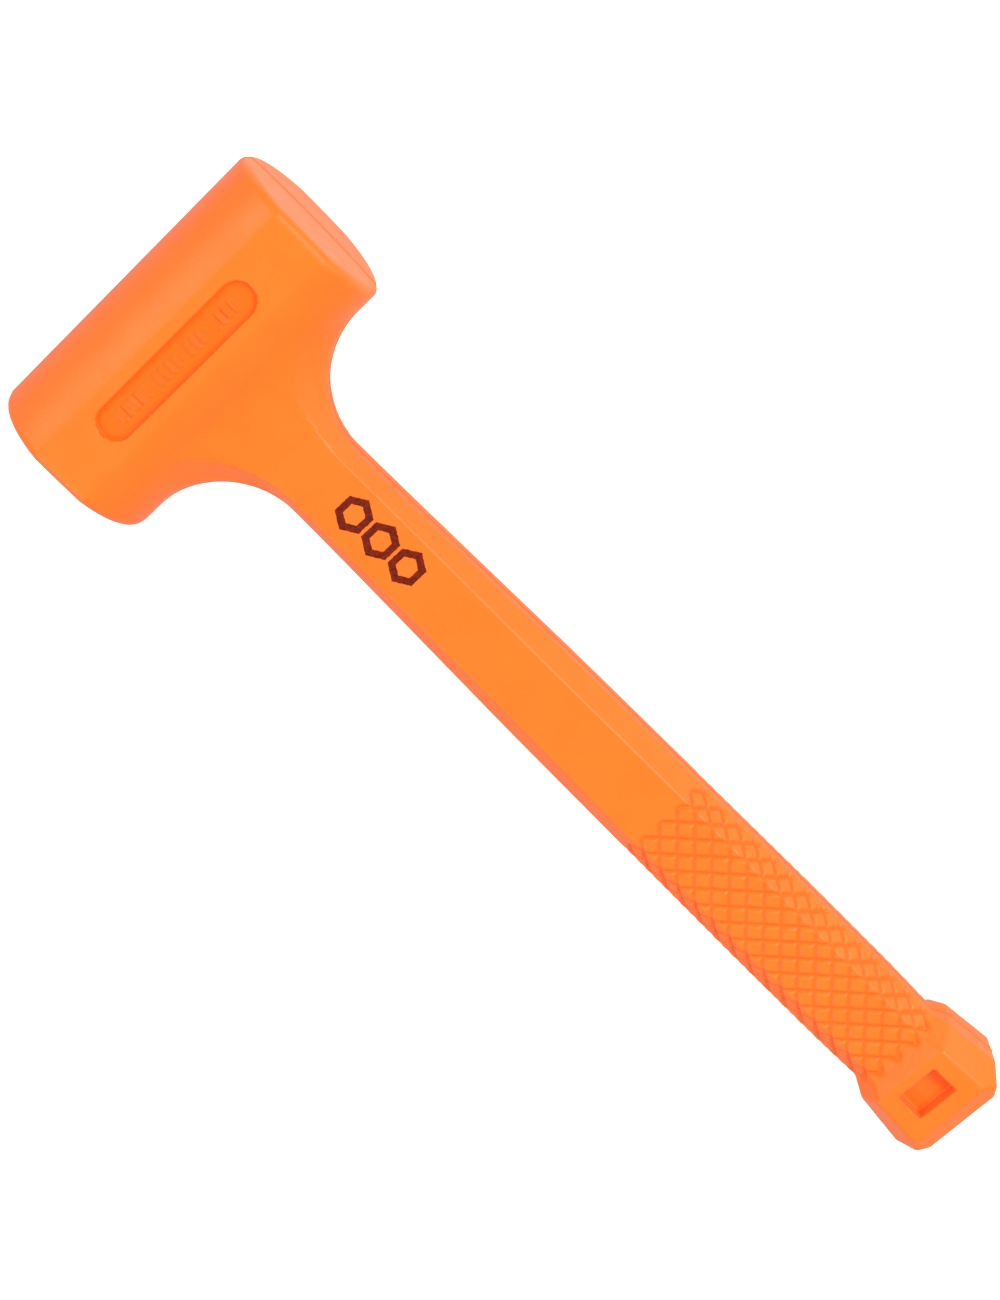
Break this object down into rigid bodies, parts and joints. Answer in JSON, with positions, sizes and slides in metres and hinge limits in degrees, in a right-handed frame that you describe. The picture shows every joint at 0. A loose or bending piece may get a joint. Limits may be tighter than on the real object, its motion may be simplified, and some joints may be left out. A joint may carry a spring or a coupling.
{
  "type": "dead blow mallet",
  "caption": "Soft-faced mallet cast in one piece of urethane over a steel canister of loose shot and a steel handle rod, with a knurled grip.",
  "frame": {"origin": "centre of the bounding box, on the handle's centre line; the centre of the head is at x = -0.1479 m", "axes": "+X runs from the head down the handle to the butt, Y is the head's axis through both striking faces, +Z is normal to the head's upper flat"},
  "size_m": [0.3466, 0.098, 0.0478],
  "materials": {
    "urethane": "satin",
    "canister_steel": "satin",
    "rod_steel": "satin",
    "weld_steel": "matte",
    "shot_steel": "polished"
  },
  "bodies": {
    "mallet": {"overmould": "urethane", "canister_tube": "canister_steel", "canister_cap_plus_y": "canister_steel", "canister_cap_minus_y": "canister_steel", "handle_rod": "rod_steel", "handle_rod_weld": "weld_steel"},
    "shot_lane_1": {"shot_1_1": "shot_steel", "shot_1_2": "shot_steel", "shot_1_3": "shot_steel", "shot_1_4": "shot_steel"},
    "shot_lane_2": {"shot_2_1": "shot_steel", "shot_2_2": "shot_steel", "shot_2_3": "shot_steel", "shot_2_4": "shot_steel"},
    "shot_lane_3": {"shot_3_1": "shot_steel", "shot_3_2": "shot_steel", "shot_3_3": "shot_steel", "shot_3_4": "shot_steel"},
    "shot_lane_4": {"shot_4_1": "shot_steel", "shot_4_2": "shot_steel", "shot_4_3": "shot_steel", "shot_4_4": "shot_steel"},
    "shot_lane_5": {"shot_5_1": "shot_steel", "shot_5_2": "shot_steel", "shot_5_3": "shot_steel", "shot_5_4": "shot_steel"},
    "shot_lane_6": {"shot_6_1": "shot_steel", "shot_6_2": "shot_steel", "shot_6_3": "shot_steel", "shot_6_4": "shot_steel"},
    "shot_lane_7": {"shot_7_1": "shot_steel", "shot_7_2": "shot_steel", "shot_7_3": "shot_steel", "shot_7_4": "shot_steel"}
  },
  "joints": [
    {"name": "shot_lane_1_slide", "type": "slide", "parent": "mallet", "child": "shot_lane_1", "axis": [0, 1, 0], "range_m": [-0.0105, 0.0105]},
    {"name": "shot_lane_2_slide", "type": "slide", "parent": "mallet", "child": "shot_lane_2", "axis": [0, 1, 0], "range_m": [-0.0105, 0.0105]},
    {"name": "shot_lane_3_slide", "type": "slide", "parent": "mallet", "child": "shot_lane_3", "axis": [0, 1, 0], "range_m": [-0.0105, 0.0105]},
    {"name": "shot_lane_4_slide", "type": "slide", "parent": "mallet", "child": "shot_lane_4", "axis": [0, 1, 0], "range_m": [-0.0105, 0.0105]},
    {"name": "shot_lane_5_slide", "type": "slide", "parent": "mallet", "child": "shot_lane_5", "axis": [0, 1, 0], "range_m": [-0.0105, 0.0105]},
    {"name": "shot_lane_6_slide", "type": "slide", "parent": "mallet", "child": "shot_lane_6", "axis": [0, 1, 0], "range_m": [-0.0105, 0.0105]},
    {"name": "shot_lane_7_slide", "type": "slide", "parent": "mallet", "child": "shot_lane_7", "axis": [0, 1, 0], "range_m": [-0.0105, 0.0105]}
  ]
}
